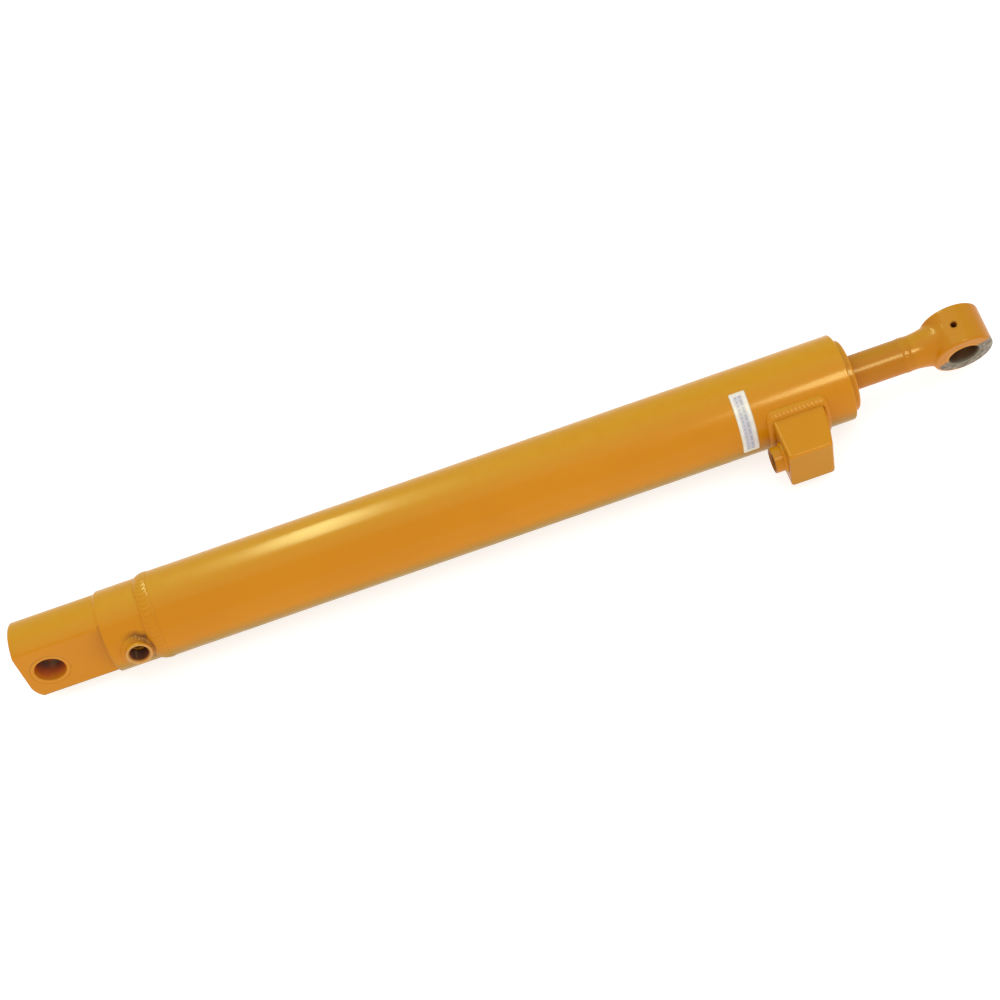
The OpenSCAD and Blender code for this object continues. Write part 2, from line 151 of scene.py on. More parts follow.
class Shader:
    """A node material under construction, with short calls for the nodes used here."""

    def __init__(self, name):
        self.material = bpy.data.materials.new(name)
        self.material.use_nodes = True
        self.tree = self.material.node_tree
        self.tree.nodes.clear()
        self.surface = self.add("ShaderNodeBsdfPrincipled")
        output = self.add("ShaderNodeOutputMaterial")
        self.link(self.surface.outputs["BSDF"], output.inputs["Surface"])
        coordinates = self.add("ShaderNodeTexCoord")
        self.place = coordinates.outputs["Object"]
        self.facing = coordinates.outputs["Normal"]

    def add(self, kind, **settings):
        node = self.tree.nodes.new(kind)
        for key, value in settings.items():
            setattr(node, key, value)
        return node

    def link(self, output, socket):
        self.tree.links.new(output, socket)

    def feed(self, socket, value):
        """Links an output, or sets a plain value."""
        if isinstance(value, bpy.types.NodeSocket):
            self.link(value, socket)
        elif hasattr(value, "__len__") and len(value) == 3 and socket.type == "RGBA":
            socket.default_value = (*value, 1.0)
        else:
            socket.default_value = value

    def set(self, **sockets):
        """Sets sockets of the surface shader; underscores stand for spaces."""
        for key, value in sockets.items():
            self.feed(self.surface.inputs[key.replace("_", " ")], value)

    def noise(self, scale, detail=3.0, roughness=0.55, stretch=None, distortion=0.0):
        node = self.add("ShaderNodeTexNoise")
        vector = self.place
        if stretch is not None:
            mapping = self.add("ShaderNodeMapping")
            mapping.inputs["Scale"].default_value = stretch
            self.link(self.place, mapping.inputs["Vector"])
            vector = mapping.outputs["Vector"]
        self.link(vector, node.inputs["Vector"])
        node.inputs["Scale"].default_value = scale
        node.inputs["Detail"].default_value = detail
        node.inputs["Roughness"].default_value = roughness
        node.inputs["Distortion"].default_value = distortion
        return node.outputs["Fac"]

    def math(self, operation, a, b=0.0, clamp=False):
        node = self.add("ShaderNodeMath", operation=operation, use_clamp=clamp)
        self.feed(node.inputs[0], a)
        self.feed(node.inputs[1], b)
        return node.outputs[0]

    def ramp(self, value, low, high, start=0.0, end=1.0):
        """start below low, end above high, smooth between."""
        node = self.add("ShaderNodeMapRange", interpolation_type="SMOOTHSTEP")
        self.feed(node.inputs["Value"], value)
        node.inputs["From Min"].default_value = low
        node.inputs["From Max"].default_value = high
        node.inputs["To Min"].default_value = start
        node.inputs["To Max"].default_value = end
        return node.outputs["Result"]

    def mix(self, share, a, b):
        """Mixes two colours."""
        node = self.add("ShaderNodeMix", data_type="RGBA")
        self.feed(node.inputs[0], share)
        self.feed(node.inputs[6], a)
        self.feed(node.inputs[7], b)
        return node.outputs[2]

    def blend(self, share, a, b):
        """Mixes two numbers."""
        node = self.add("ShaderNodeMix", data_type="FLOAT")
        self.feed(node.inputs[0], share)
        self.feed(node.inputs[2], a)
        self.feed(node.inputs[3], b)
        return node.outputs[0]

    def along(self, direction, centre=(0.0, 0.0, 0.0)):
        """Distance along a direction from a centre, in metres."""
        shift = self.add("ShaderNodeVectorMath", operation="SUBTRACT")
        self.link(self.place, shift.inputs[0])
        shift.inputs[1].default_value = centre
        dot = self.add("ShaderNodeVectorMath", operation="DOT_PRODUCT")
        self.link(shift.outputs["Vector"], dot.inputs[0])
        dot.inputs[1].default_value = direction
        return dot.outputs["Value"]

    def radius(self, a, b, centre=(0.0, 0.0, 0.0)):
        """Distance from an axis, given two directions square to it."""
        first = self.math("POWER", self.math("ABSOLUTE", self.along(a, centre)), 2.0)
        second = self.math("POWER", self.math("ABSOLUTE", self.along(b, centre)), 2.0)
        return self.math("SQRT", self.math("ADD", first, second))

    def tilt(self, direction):
        """Cosine of the angle between the surface's outward direction and another one."""
        dot = self.add("ShaderNodeVectorMath", operation="DOT_PRODUCT")
        self.link(self.facing, dot.inputs[0])
        dot.inputs[1].default_value = direction
        return dot.outputs["Value"]

    def attribute(self, name):
        return self.add("ShaderNodeAttribute", attribute_name=name).outputs["Fac"]

    def bump(self, height, distance, strength=1.0, under=None):
        node = self.add("ShaderNodeBump")
        node.inputs["Strength"].default_value = strength
        node.inputs["Distance"].default_value = distance
        self.link(height, node.inputs["Height"])
        if under is not None:
            self.link(under, node.inputs["Normal"])
        return node.outputs["Normal"]


YELLOW = (0.620, 0.231, 0.0045)
ORANGE = (0.598, 0.219, 0.0042)
# Painted light for faces that look up, the direction taken as up, then painted shade for faces that look
# down.
PAINTED_TOP_LIGHT = (0.600, 0.292, 0.0060)
TOP_LIGHT_TOWARDS = (0.0, 0.30, 0.954)
SHADED_UNDERSIDE = (0.345, 0.188, 0.0050)
DEEP = (0.300, 0.092, 0.0050)
# Painted shade inside port mouths, then a painted highlight for their rims.
SHADED_INSIDE = (0.150, 0.034, 0.0060)
RIM_HIGHLIGHT = (0.640, 0.380, 0.1400)
# Colour of dirt and of painted shade in creases and recesses.
SHADE_AND_GRIME = (0.125, 0.036, 0.0080)
STEEL = (0.320, 0.270, 0.200)
DARK_STEEL = (0.075, 0.052, 0.036)
GLOSS = {"Specular_IOR_Level": 0.05, "Coat_Weight": 0.25}


def enamel_colour(s, grime_and_shade=None, fade=1.0, under=0.0):
    """Industrial enamel: broad drifts of tone, small flecks of dust, dirt and painted shade where
    `grime_and_shade` says.

    Faces that look up get painted light, a lighter yellow, by the share `fade`, and those that look
    down get painted shade, a duller colour, by the share `under`.
    """
    drift = s.ramp(s.noise(9.0, 2.0), 0.35, 0.68)
    mottle = s.ramp(s.noise(70.0, 4.0), 0.40, 0.75)
    colour = s.mix(drift, YELLOW, ORANGE)
    # Painted light: faces that look up are mixed towards a lighter yellow.
    colour = s.mix(s.ramp(s.tilt(TOP_LIGHT_TOWARDS), 0.45, 1.06, 0.0, fade), colour, PAINTED_TOP_LIGHT)
    # Painted shade: faces that look down are mixed towards a duller, darker colour.
    if under:
        colour = s.mix(s.ramp(s.tilt((0, 0, -1)), 0.0, 0.50, 0.0, under), colour, SHADED_UNDERSIDE)
    colour = s.mix(s.math("MULTIPLY", mottle, 0.25), colour, ORANGE)
    fleck = s.ramp(s.noise(1400.0, 2.0), 0.70, 0.80)
    colour = s.mix(s.math("MULTIPLY", fleck, 0.30), colour, DEEP)
    # Dirt and painted shade from the point attribute, broken up by a cloud.
    if grime_and_shade is not None:
        cloud = s.ramp(s.noise(200.0, 3.0), 0.30, 0.66, 0.45, 0.85)
        share = s.math("MULTIPLY", grime_and_shade, cloud, clamp=True)
        colour = s.mix(share, colour, SHADE_AND_GRIME)
    return colour


def enamel_normal(s, texture=1.0):
    """Orange peel in the paint over slightly uneven metal."""
    peel = s.bump(s.noise(520.0, 2.0), 0.00006 * texture, 0.55)
    return s.bump(s.noise(55.0, 2.0), 0.0005 * texture, 0.20, under=peel)


def enamel_roughness(s):
    return s.ramp(s.noise(38.0, 4.0), 0.30, 0.75, 0.25, 0.40)


def enamel(name, texture=1.0, grime_and_shade=None, bare=None, mouth=False, shade=0.0, fade=1.0, under=0.0,
           coat_roughness=0.17):
    """Yellow enamel. `bare` builds a mask of bare steel and `grime_and_shade` names a point attribute of
    dirt and painted shade.

    `mouth` adds painted shade inside a port and a painted highlight on its rim, and `shade` a share of
    darker paint.
    `fade` and `under` are the shares of painted light on upward and of painted shade on downward faces.
    """
    s = Shader(name)
    dirt_and_shade = s.attribute(grime_and_shade) if grime_and_shade else None
    colour = enamel_colour(s, dirt_and_shade, fade, under)
    if shade:
        colour = s.mix(shade, colour, DEEP)
    # Painted highlight on a port's rim and painted shade inside its mouth.
    if mouth:
        colour = s.mix(s.math("MULTIPLY", s.attribute("rim"), 0.75), colour, RIM_HIGHLIGHT)
        colour = s.mix(s.attribute("inside"), colour, SHADED_INSIDE)
    rough = enamel_roughness(s)
    metallic = 0.0
    if bare is not None:
        mask = bare(s)
        scratched = s.mix(s.ramp(s.noise(210.0, 6.0), 0.30, 0.70), STEEL, (0.120, 0.085, 0.050))
        colour = s.mix(mask, colour, scratched)
        rough = s.blend(mask, rough, s.ramp(s.noise(190.0, 4.0), 0.2, 0.8, 0.34, 0.60))
        metallic = s.math("MULTIPLY", mask, 0.75)
    s.set(
        Base_Color=colour,
        Roughness=rough,
        Metallic=metallic,
        Normal=enamel_normal(s, texture),
        Coat_Roughness=coat_roughness,
        **GLOSS,
    )
    return s.material


def tube_bore_mask(s):
    """The honed bore is bare; the paint stops just inside the mouth."""
    inside = s.ramp(s.radius((0, 1, 0), (0, 0, 1)), BORE_R * MM, (BORE_R + 1.2) * MM, 1.0, 0.0)
    behind = s.ramp(s.along((1, 0, 0)), (TUBE_END - 2.5) * MM, (TUBE_END - 0.5) * MM, 1.0, 0.0)
    return s.math("MULTIPLY", inside, behind)


def gland_bare_mask(s):
    """Only the gland's nose, past its shoulder, was painted."""
    return s.ramp(s.along((1, 0, 0)), SHOULDER_X * MM, (SHOULDER_X + 2.5) * MM, 1.0, 0.0)


eye_bore_axis = (0.0, -math.cos(EYE_TURN), -math.sin(EYE_TURN))
eye_up_axis = (0.0, -math.sin(EYE_TURN), math.cos(EYE_TURN))
eye_centre = (EYE_X * MM, 0.0, 0.0)


def eye_bare_side(s):
    """1 on the lower, outer part of the eye's faces; paint reached the rest."""
    ragged = s.math("MULTIPLY", s.math("SUBTRACT", s.noise(75.0, 4.0), 0.5), 0.010)
    side = s.math("SUBTRACT", s.along(eye_up_axis, eye_centre),
                  s.math("MULTIPLY", s.along((1, 0, 0), eye_centre), 0.55))
    return s.ramp(s.math("ADD", side, ragged), 0.001, 0.008, 1.0, 0.0)


def eye_face_mask(s):
    """The machined faces of the eye were masked from the paint, with a ragged edge."""
    depth = s.math("ABSOLUTE", s.along(eye_bore_axis, eye_centre))
    ragged = s.math("MULTIPLY", s.math("SUBTRACT", s.noise(95.0, 4.0), 0.5), 0.0030)
    face = s.ramp(s.math("ADD", depth, ragged), (EYE_HALF - 3.0) * MM, (EYE_HALF - 2.0) * MM)
    reach = s.radius((1, 0, 0), eye_up_axis, eye_centre)
    ragged_rim = s.math("MULTIPLY", s.math("SUBTRACT", s.noise(75.0, 4.0), 0.5), 0.010)
    shift = s.math("MULTIPLY", s.along((1, 0, 0), eye_centre), -0.12)
    reach = s.math("ADD", s.math("ADD", reach, ragged_rim), shift)
    disc = s.ramp(reach, 0.0285, 0.0320, 1.0, 0.0)
    disc = s.math("MULTIPLY", disc, eye_bare_side(s))
    return s.math("MULTIPLY", face, disc)


def bush_material(name, axis, centre, half, spray_depth, tint, lip, bare_side=None):
    """Oiled dark steel; `tint` fades in towards each mouth and turns to `lip` at its end face.

    `bare_side` builds a mask of where that face is bare; elsewhere it is painted.
    """
    s = Shader(name)
    depth = s.math("ABSOLUTE", s.along(axis, centre))
    ragged = s.math("MULTIPLY", s.math("SUBTRACT", s.noise(85.0, 4.0), 0.5), 0.4 * spray_depth * MM)
    spray = s.ramp(s.math("ADD", depth, ragged), (half - spray_depth) * MM, (half - 0.8) * MM)
    rust = s.ramp(s.noise(150.0, 5.0), 0.26, 0.56)
    metal = s.mix(rust, DARK_STEEL, (0.110, 0.038, 0.016))
    if bare_side is not None:
        lip = s.mix(bare_side(s), YELLOW, lip)
    s.set(
        Base_Color=s.mix(spray, metal, s.mix(s.math("POWER", spray, 5.0), tint, lip)),
        Metallic=s.math("MULTIPLY", s.math("SUBTRACT", 1.0, spray), 0.35),
        Roughness=s.ramp(s.noise(120.0, 4.0), 0.3, 0.7, 0.42, 0.66),
        Specular_IOR_Level=0.25,
        Normal=s.bump(s.noise(420.0, 4.0), 0.00008, 0.6),
    )
    return s.material


def rod_material():
    """Hard chrome, painted over the short length that stays outside the gland."""
    s = Shader("rod_chrome_and_paint")
    edge = s.math("MULTIPLY", s.math("SUBTRACT", s.noise(120.0, 4.0), 0.5), 0.003)
    place = s.math("ADD", s.along((1, 0, 0)), edge)
    painted = s.ramp(place, (NOSE_X + 1.0) * MM, (NOSE_X + 1.6) * MM)
    hone = s.noise(60.0, 5.0, stretch=(900.0, 8.0, 8.0))
    chrome = s.mix(s.noise(25.0, 3.0), (0.56, 0.57, 0.59), (0.48, 0.49, 0.51))
    s.set(
        Base_Color=s.mix(painted, chrome, s.mix(0.39, enamel_colour(s), DEEP)),
        Metallic=s.math("SUBTRACT", 1.0, painted),
        Roughness=s.blend(painted, s.ramp(hone, 0.3, 0.7, 0.06, 0.14), enamel_roughness(s)),
        Normal=enamel_normal(s, 0.5),
        Coat_Roughness=0.24,
        **GLOSS,
    )
    return s.material


def turned_steel(name, colour=(0.56, 0.56, 0.58), rough=(0.22, 0.38)):
    """Steel with the fine rings that a lathe leaves."""
    s = Shader(name)
    rings = s.noise(40.0, 4.0, stretch=(60.0, 1.0, 1.0))
    stain = s.ramp(s.noise(45.0, 4.0), 0.35, 0.75)
    s.set(
        Base_Color=s.mix(s.math("MULTIPLY", stain, 0.5), colour, tuple(c * 0.55 for c in colour)),
        Metallic=1.0,
        Roughness=s.ramp(rings, 0.3, 0.7, *rough),
        Normal=s.bump(rings, 0.00004, 0.5),
    )
    return s.material


def moulded(name, colour, rough, grain=500.0):
    """Rubber or plastic with a fine moulded grain."""
    s = Shader(name)
    tone = s.ramp(s.noise(60.0, 4.0), 0.3, 0.7)
    s.set(
        Base_Color=s.mix(tone, colour, tuple(c * 0.72 for c in colour)),
        Roughness=s.ramp(s.noise(grain / 3, 3.0), 0.3, 0.7, rough - 0.08, rough + 0.08),
        Normal=s.bump(s.noise(grain, 3.0), 0.00003, 0.5),
    )
    return s.material


def label_material():
    """White film with a faint, generic printed pattern of bars and a grubby edge."""
    s = Shader("label_print")
    split = s.add("ShaderNodeSeparateXYZ")
    s.link(s.add("ShaderNodeUVMap", uv_map="print").outputs["UV"], split.inputs[0])
    length, across = split.outputs["X"], split.outputs["Y"]

    def band(value, low, high, soft=0.012):
        rise = s.ramp(value, low - soft, low + soft)
        fall = s.ramp(value, high - soft, high + soft, 1.0, 0.0)
        return s.math("MULTIPLY", rise, fall)

    def bars(low, high, pitch, gap):
        phase = s.math("FRACT", s.math("MULTIPLY", length, pitch))
        return s.math("MULTIPLY", band(across, low, high), band(phase, gap, 1.0 - gap, 0.04))

    rows = s.math("ADD", bars(0.30, 0.40, 17.0, 0.16), bars(0.52, 0.66, 9.0, 0.10), clamp=True)
    panel = band(across, 0.20, 0.74)
    inside = band(length, 0.06, 0.94, 0.006)
    ink = s.math("MULTIPLY", rows, inside)
    tint = s.math("MULTIPLY", panel, inside)
    wear = s.ramp(s.noise(160.0, 5.0), 0.35, 0.65)
    paper = s.mix(s.math("MULTIPLY", wear, 0.5), (0.82, 0.78, 0.70), (0.68, 0.60, 0.44))
    tinted = s.mix(s.math("MULTIPLY", tint, 0.62), paper, (0.46, 0.46, 0.54))
    printed = s.mix(s.math("MULTIPLY", ink, 0.50), tinted, (0.24, 0.25, 0.33))
    edge = s.math("SUBTRACT", 1.0, s.math("MULTIPLY", band(across, 0.05, 0.95), band(length, 0.012, 0.988)))
    s.set(
        Base_Color=s.mix(s.math("MULTIPLY", edge, 0.6), printed, (0.60, 0.46, 0.16)),
        Roughness=s.ramp(s.noise(90.0, 4.0), 0.3, 0.7, 0.32, 0.52),
        Normal=s.bump(s.noise(240.0, 3.0), 0.00006, 0.5),
    )
    return s.material


# All enamels get painted light on faces that look up; those given `under` also get painted shade on faces
# that look down.
tube_paint = enamel("tube_enamel", bare=tube_bore_mask, under=1.0)
cap_paint = enamel("cap_enamel", texture=1.3, grime_and_shade="grime_and_shade", under=1.0)
weld_paint = enamel("weld_enamel", grime_and_shade="grime_and_shade", under=1.0)
block_weld_paint = enamel("block_weld_enamel", grime_and_shade="grime_and_shade", under=1.0, coat_roughness=0.31)
rod_weld_paint = enamel("rod_weld_enamel", grime_and_shade="grime_and_shade", shade=0.28)
# The block takes less painted light on top and extra painted shade on its downward faces.
block_paint = enamel("block_enamel", texture=1.5, grime_and_shade="grime_and_shade", fade=0.45, under=1.6)
boss_paint = enamel("boss_enamel", mouth=True)
gland_paint = enamel("gland_enamel", bare=gland_bare_mask)
eye_paint = enamel("eye_enamel", texture=1.4, grime_and_shade="grime_and_shade", bare=eye_face_mask, shade=0.18)
base_bush_steel = bush_material("base_bush_steel", (0, 1, 0), (0, 0, 0), FLAT_Y, 26.0,
                                (0.860, 0.175, 0.0150), YELLOW)
eye_bush_steel = bush_material("eye_bush_steel", eye_bore_axis, eye_centre, EYE_HALF, 9.0,
                               (0.105, 0.055, 0.0260), (0.200, 0.165, 0.115), eye_bare_side)
rod_surface = rod_material()
machined = turned_steel("machined_steel")
black_oxide = turned_steel("black_oxide_steel", (0.10, 0.10, 0.11), (0.30, 0.45))
nitrile = moulded("nitrile_rubber", (0.022, 0.022, 0.024), 0.52)
polyurethane = moulded("polyurethane", (0.030, 0.105, 0.075), 0.38)
filled_ptfe = moulded("filled_ptfe", (0.130, 0.100, 0.080), 0.42)
guide_resin = moulded("guide_resin", (0.330, 0.150, 0.055), 0.55, grain=900.0)
label_print = label_material()

# ---------------------------------------------------------------- mesh helpers


def piece(name, points, faces, body, material, stands_for, attributes=None, uv=None):
    """A closed smooth mesh from points in millimetres, on a body, in place of some CAD nodes."""
    mesh = bpy.data.meshes.new(name)
    mesh.from_pydata((np.asarray(points) * MM).tolist(), [], faces)
    for key, values in (attributes or {}).items():
        layer = mesh.attributes.new(key, "FLOAT", "POINT")
        layer.data.foreach_set("value", np.asarray(values, np.float32))
    if uv is not None:
        layer = mesh.uv_layers.new(name="print")
        corner = np.zeros(len(mesh.loops), np.int32)
        mesh.loops.foreach_get("vertex_index", corner)
        layer.data.foreach_set("uv", np.asarray(uv, np.float32)[corner].ravel())
    work = bmesh.new()
    work.from_mesh(mesh)
    bmesh.ops.remove_doubles(work, verts=work.verts, dist=1e-7)
    bmesh.ops.recalc_face_normals(work, faces=work.faces)
    for face in work.faces:
        face.smooth = True
    work.to_mesh(mesh)
    work.free()
    obj = bpy.data.objects.new(name, mesh)
    bpy.context.scene.collection.objects.link(obj)
    mesh.materials.append(material)
    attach(obj, body)
    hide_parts(*stands_for)
    return obj


def loop_faces(rings, count, closed):
    """Quads between rings of `count` points each; `closed` joins the last ring to the first."""
    faces = []
    for i in range(rings if closed else rings - 1):
        a, b = i * count, ((i + 1) % rings) * count
        for j in range(count):
            k = (j + 1) % count
            faces.append((a + j, a + k, b + k, b + j))
    return faces


def rounded(corners, steps=6, support=0.5):
    """A closed outline through (along, radius, fillet) corners, each turned by an arc.

    A point just before and after each arc keeps the shading of the straights flat.
    """
    out = []
    count = len(corners)
    for i, (along, radius, fillet) in enumerate(corners):
        here = np.array([along, radius], float)
        back = np.array(corners[i - 1][:2], float) - here
        ahead = np.array(corners[(i + 1) % count][:2], float) - here
        back_len, ahead_len = np.linalg.norm(back), np.linalg.norm(ahead)
        back, ahead = back / back_len, ahead / ahead_len
        if fillet == 0:
            out += [here + back * min(support, 0.3 * back_len), here]
            out.append(here + ahead * min(support, 0.3 * ahead_len))
            continue
        half = math.acos(float(np.clip(back @ ahead, -1, 1))) / 2
        cut = min(fillet / math.tan(half), 0.42 * min(back_len, ahead_len))
        radius_here = cut * math.tan(half)
        middle = (back + ahead) / np.linalg.norm(back + ahead)
        centre = here + middle * radius_here / math.sin(half)
        first = here + back * cut - centre
        last = here + ahead * cut - centre
        sweep = math.pi - 2 * half
        out.append(here + back * min(cut + support, 0.48 * back_len))
        for k in range(steps + 1):
            t = k / steps
            arc = (math.sin((1 - t) * sweep) * first + math.sin(t * sweep) * last) / math.sin(sweep)
            out.append(centre + arc)
        out.append(here + ahead * min(cut + support, 0.48 * ahead_len))
    return np.array(out)


def frame_of(x, y, z, origin):
    """A frame with three given axes."""
    return Matrix((*zip(x, y, z, origin), (0, 0, 0, 1)))


def axis_frame(origin, along, up):
    """A frame whose X is `along` and whose Z is near `up`."""
    x = Vector(along).normalized()
    y = Vector(up).cross(x).normalized()
    return frame_of(x, y, x.cross(y), origin)


def turns(count):
    """Evenly spaced angles round a full turn."""
    return 2 * math.pi * np.arange(count) / count


def ring(x, radius, angle):
    """Rows of points on a circle about the cylinder's axis, at x along it."""
    return np.stack([x + 0 * angle, radius * np.cos(angle), radius * np.sin(angle)], -1)


def lathe(profile, segments, place=Matrix.Identity(4), wave=None):
    """Points and faces of a closed profile of (along, radius) turned about the frame's X.

    `wave` gives what is added to the radius at each place.
    """
    profile = np.asarray(profile, float)
    angle = turns(segments)
    radius = np.repeat(profile[:, 1:2], segments, axis=1)
    along = np.repeat(profile[:, 0:1], segments, axis=1)
    if wave is not None:
        radius = radius + wave(along, radius, angle[None, :])
    local = np.stack([along, radius * np.cos(angle), radius * np.sin(angle)], -1).reshape(-1, 3)
    m = np.array(place)
    return local @ m[:3, :3].T + m[:3, 3], loop_faces(len(profile), segments, True)


def skin(distance, low, high, voxel, relax=3):
    """A quad mesh of where distance(points) is zero, by surface nets, then pulled onto it."""
    low = np.asarray(low, float)
    count = np.ceil((np.asarray(high, float) - low) / voxel).astype(int) + 1
    axes = [low[k] + voxel * np.arange(count[k]) for k in range(3)]
    inside = np.empty(tuple(count), bool)
    for i, x in enumerate(axes[0]):
        y, z = np.meshgrid(axes[1], axes[2], indexing="ij")
        slab = np.stack([np.full_like(y, x), y, z], -1)
        inside[i] = distance(slab) < 0
    filled = sum(
        inside[a : a + count[0] - 1, b : b + count[1] - 1, c : c + count[2] - 1].astype(np.int8)
        for a in (0, 1)
        for b in (0, 1)
        for c in (0, 1)
    )
    mixed = (filled > 0) & (filled < 8)
    index = np.full(mixed.shape, -1)
    cells = np.argwhere(mixed)
    index[mixed] = np.arange(len(cells))
    points = low + voxel * (cells + 0.5)
    quads = []
    for axis in range(3):
        u, v = (axis + 1) % 3, (axis + 2) % 3
        first = np.take(inside, range(count[axis] - 1), axis)
        second = np.take(inside, range(1, count[axis]), axis)
        edge = np.argwhere(first != second)
        keep = (edge[:, u] > 0) & (edge[:, v] > 0)
        keep &= (edge[:, u] < count[u] - 1) & (edge[:, v] < count[v] - 1)
        edge = edge[keep]
        corners = []
        for du, dv in ((-1, -1), (0, -1), (0, 0), (-1, 0)):
            cell = edge.copy()
            cell[:, u] += du
            cell[:, v] += dv
            corners.append(index[cell[:, 0], cell[:, 1], cell[:, 2]])
        quad = np.stack(corners, -1)
        flip = ~first[edge[:, 0], edge[:, 1], edge[:, 2]]
        quad[flip] = quad[flip][:, ::-1]
        quads.append(quad)
    quads = np.concatenate(quads)
    step = voxel * 0.02
    for turn in range(relax + 2):
        if turn < relax:
            total = np.zeros_like(points)
            share = np.zeros(len(points))
            for a, b in ((0, 1), (1, 2), (2, 3), (3, 0)):
                np.add.at(total, quads[:, a], points[quads[:, b]])
                np.add.at(total, quads[:, b], points[quads[:, a]])
                np.add.at(share, quads[:, a], 1)
                np.add.at(share, quads[:, b], 1)
            points = 0.4 * points + 0.6 * total / share[:, None]
        value = distance(points)
        rise = [distance(points + shift) - distance(points - shift) for shift in step * np.eye(3)]
        slope = np.stack(rise, -1) / (2 * step)
        size = np.maximum((slope**2).sum(-1), 0.25)
        move = np.clip(value / size, -voxel, voxel)
        points = points - move[:, None] * slope
    return points, quads.tolist()


# Distance fields: cut keeps what is in both, join adds, and drill takes away, each with a radius.


def cut(a, b, radius=0.0):
    inner = np.maximum(a, b)
    if radius == 0:
        return inner
    return np.minimum(-radius, inner) + np.hypot(np.maximum(radius + a, 0), np.maximum(radius + b, 0))


def join(a, b, radius=0.0):
    return -cut(-a, -b, radius)


def drill(a, hole, radius=0.0):
    return cut(a, -hole, radius)


def bead(name, corner, toe_a, toe_b, rise, pitch, body, material, stands_for, seed,
         dirt_and_shade=0.0, bury=0.7, ripple=0.42):
    """A weld bead along a closed path, with overlapping ripples.

    corner, toe_a and toe_b are (n, 3) rows: the root line and both edges of the bead. It stands
    `rise` above the line between its edges, and its ripples are `pitch` apart and take the share
    `ripple` of its height. Beyond its edges it dips `bury` below the metal. `dirt_and_shade` darkens it
    along the path, as dirt and painted shadow, and `seed` varies its height. Its toes and the
    valleys between its ripples get painted shade.
    """
    rows = 17
    count = len(corner)
    loop = np.linalg.norm(np.roll(toe_a, -1, 0) - toe_a, axis=1)
    travel = np.concatenate([[0], np.cumsum(loop)[:-1]])
    total = loop.sum()
    ripples = max(8, round(total / pitch))
    phase = travel / total * ripples
    turn = 2 * math.pi * travel / total
    drift = sum(np.sin(turn * k + seed * 1.7 * k) / k**0.6 for k in (2, 3, 5, 8, 13)) / 3
    outward = (toe_a - corner) + (toe_b - corner)
    chord = toe_b - toe_a
    outward -= chord * ((outward * chord).sum(1) / (chord * chord).sum(1))[:, None]
    outward /= np.linalg.norm(outward, axis=1, keepdims=True)
    points, grime_and_shade = [], []
    for j in range(rows):
        t = min(max((j - 1) / (rows - 3), 0.0), 1.0)
        wave = (phase + 0.9 * (2 * t - 1) ** 2) % 1.0
        scallop = np.sqrt(np.clip(1 - (2 * wave - 1) ** 2, 0, 1))
        crown = math.sin(math.pi * t) ** 0.8
        height = rise * crown * (1.08 - ripple * (1 - scallop) + 0.24 * drift)
        if j in (0, rows - 1):
            height = height - bury
        spread = 1 + 0.07 * drift + 0.04 * scallop
        base = corner + ((toe_a - corner) * (1 - t) + (toe_b - corner) * t) * spread[:, None]
        points.append(base + outward * height[:, None])
        # Painted shade at the toes and in the valleys between ripples, besides the path's dirt and painted
        # shadow.
        grime_and_shade.append(dirt_and_shade * (1 - 0.4 * t) + 0.05 * (1 - crown) ** 2 + 0.12 * (1 - scallop) * crown)
    points.append(corner + (toe_b - corner) * 0.5 - outward * 1.6 * bury)
    points.append(corner - outward * 1.6 * bury)
    points.append(corner + (toe_a - corner) * 0.5 - outward * 1.6 * bury)
    grime_and_shade += [np.zeros(count)] * 3
    return piece(
        name, np.concatenate(points), loop_faces(len(points), count, True), body, material,
        stands_for, attributes={"grime_and_shade": np.clip(np.concatenate(grime_and_shade), 0, 1)},
    )


def threaded(start, end, inner, pitch=1.814, depth=1.0):
    """Profile points and a wave that cut a helical thread from start to end along the bore."""
    rows = int((end - start) / pitch * 8)
    points = [(start + (end - start) * i / rows, inner) for i in range(rows + 1)]

    def wave(along, radius, angle):
        phase = (along / pitch - angle / (2 * math.pi)) % 1.0
        tooth = np.clip(1.4 * np.abs(2 * phase - 1) - 0.2, 0, 1)
        fade = np.clip((along - start) / 1.2, 0, 1) * np.clip((end - along) / 1.2, 0, 1)
        bore = (np.abs(radius - inner) < 1e-6) & (along > start) & (along < end)
        return np.where(bore, depth * tooth * fade, 0.0)

    return points, wave


def near(value, centre, width):
    """1 at centre, fading to 0 at width away."""
    return np.clip(1 - np.abs(value - centre) / width, 0, 1)


# ---------------------------------------------------------------- barrel and base end


def make_tube():
    """The tube, bevelled for its weld, with a groove in its bore for the gland's retaining ring."""
    land = 1.0
    bevel = TUBE_R - BORE_R - land
    groove_r = BORE_R + 1.9
    groove_start, groove_end = SHOULDER_X + 0.2, SHOULDER_X + 4.0
    profile = rounded([
        (JOINT_X, BORE_R, 0), (JOINT_X, BORE_R + land, 0), (JOINT_X + bevel, TUBE_R, 0),
        (TUBE_END, TUBE_R, 1.3), (TUBE_END, BORE_R, 0.8),
        (groove_end, BORE_R, 0), (groove_end, groove_r, 0.6),
        (groove_start, groove_r, 0.6), (groove_start, BORE_R, 0),
    ])
    points, faces = lathe(profile, 256)
    piece("tube_shell", points, faces, "barrel", tube_paint, ["barrel_tube"])


port_rotation = np.array(Matrix.Rotation(PORT_TURN, 4, "X"))[:3, :3]


def port_place(p):
    """Distance out along the base port, and from its middle line."""
    local = p @ port_rotation
    return -local[..., 1], np.hypot(local[..., 0] - PORT_X, local[..., 2])


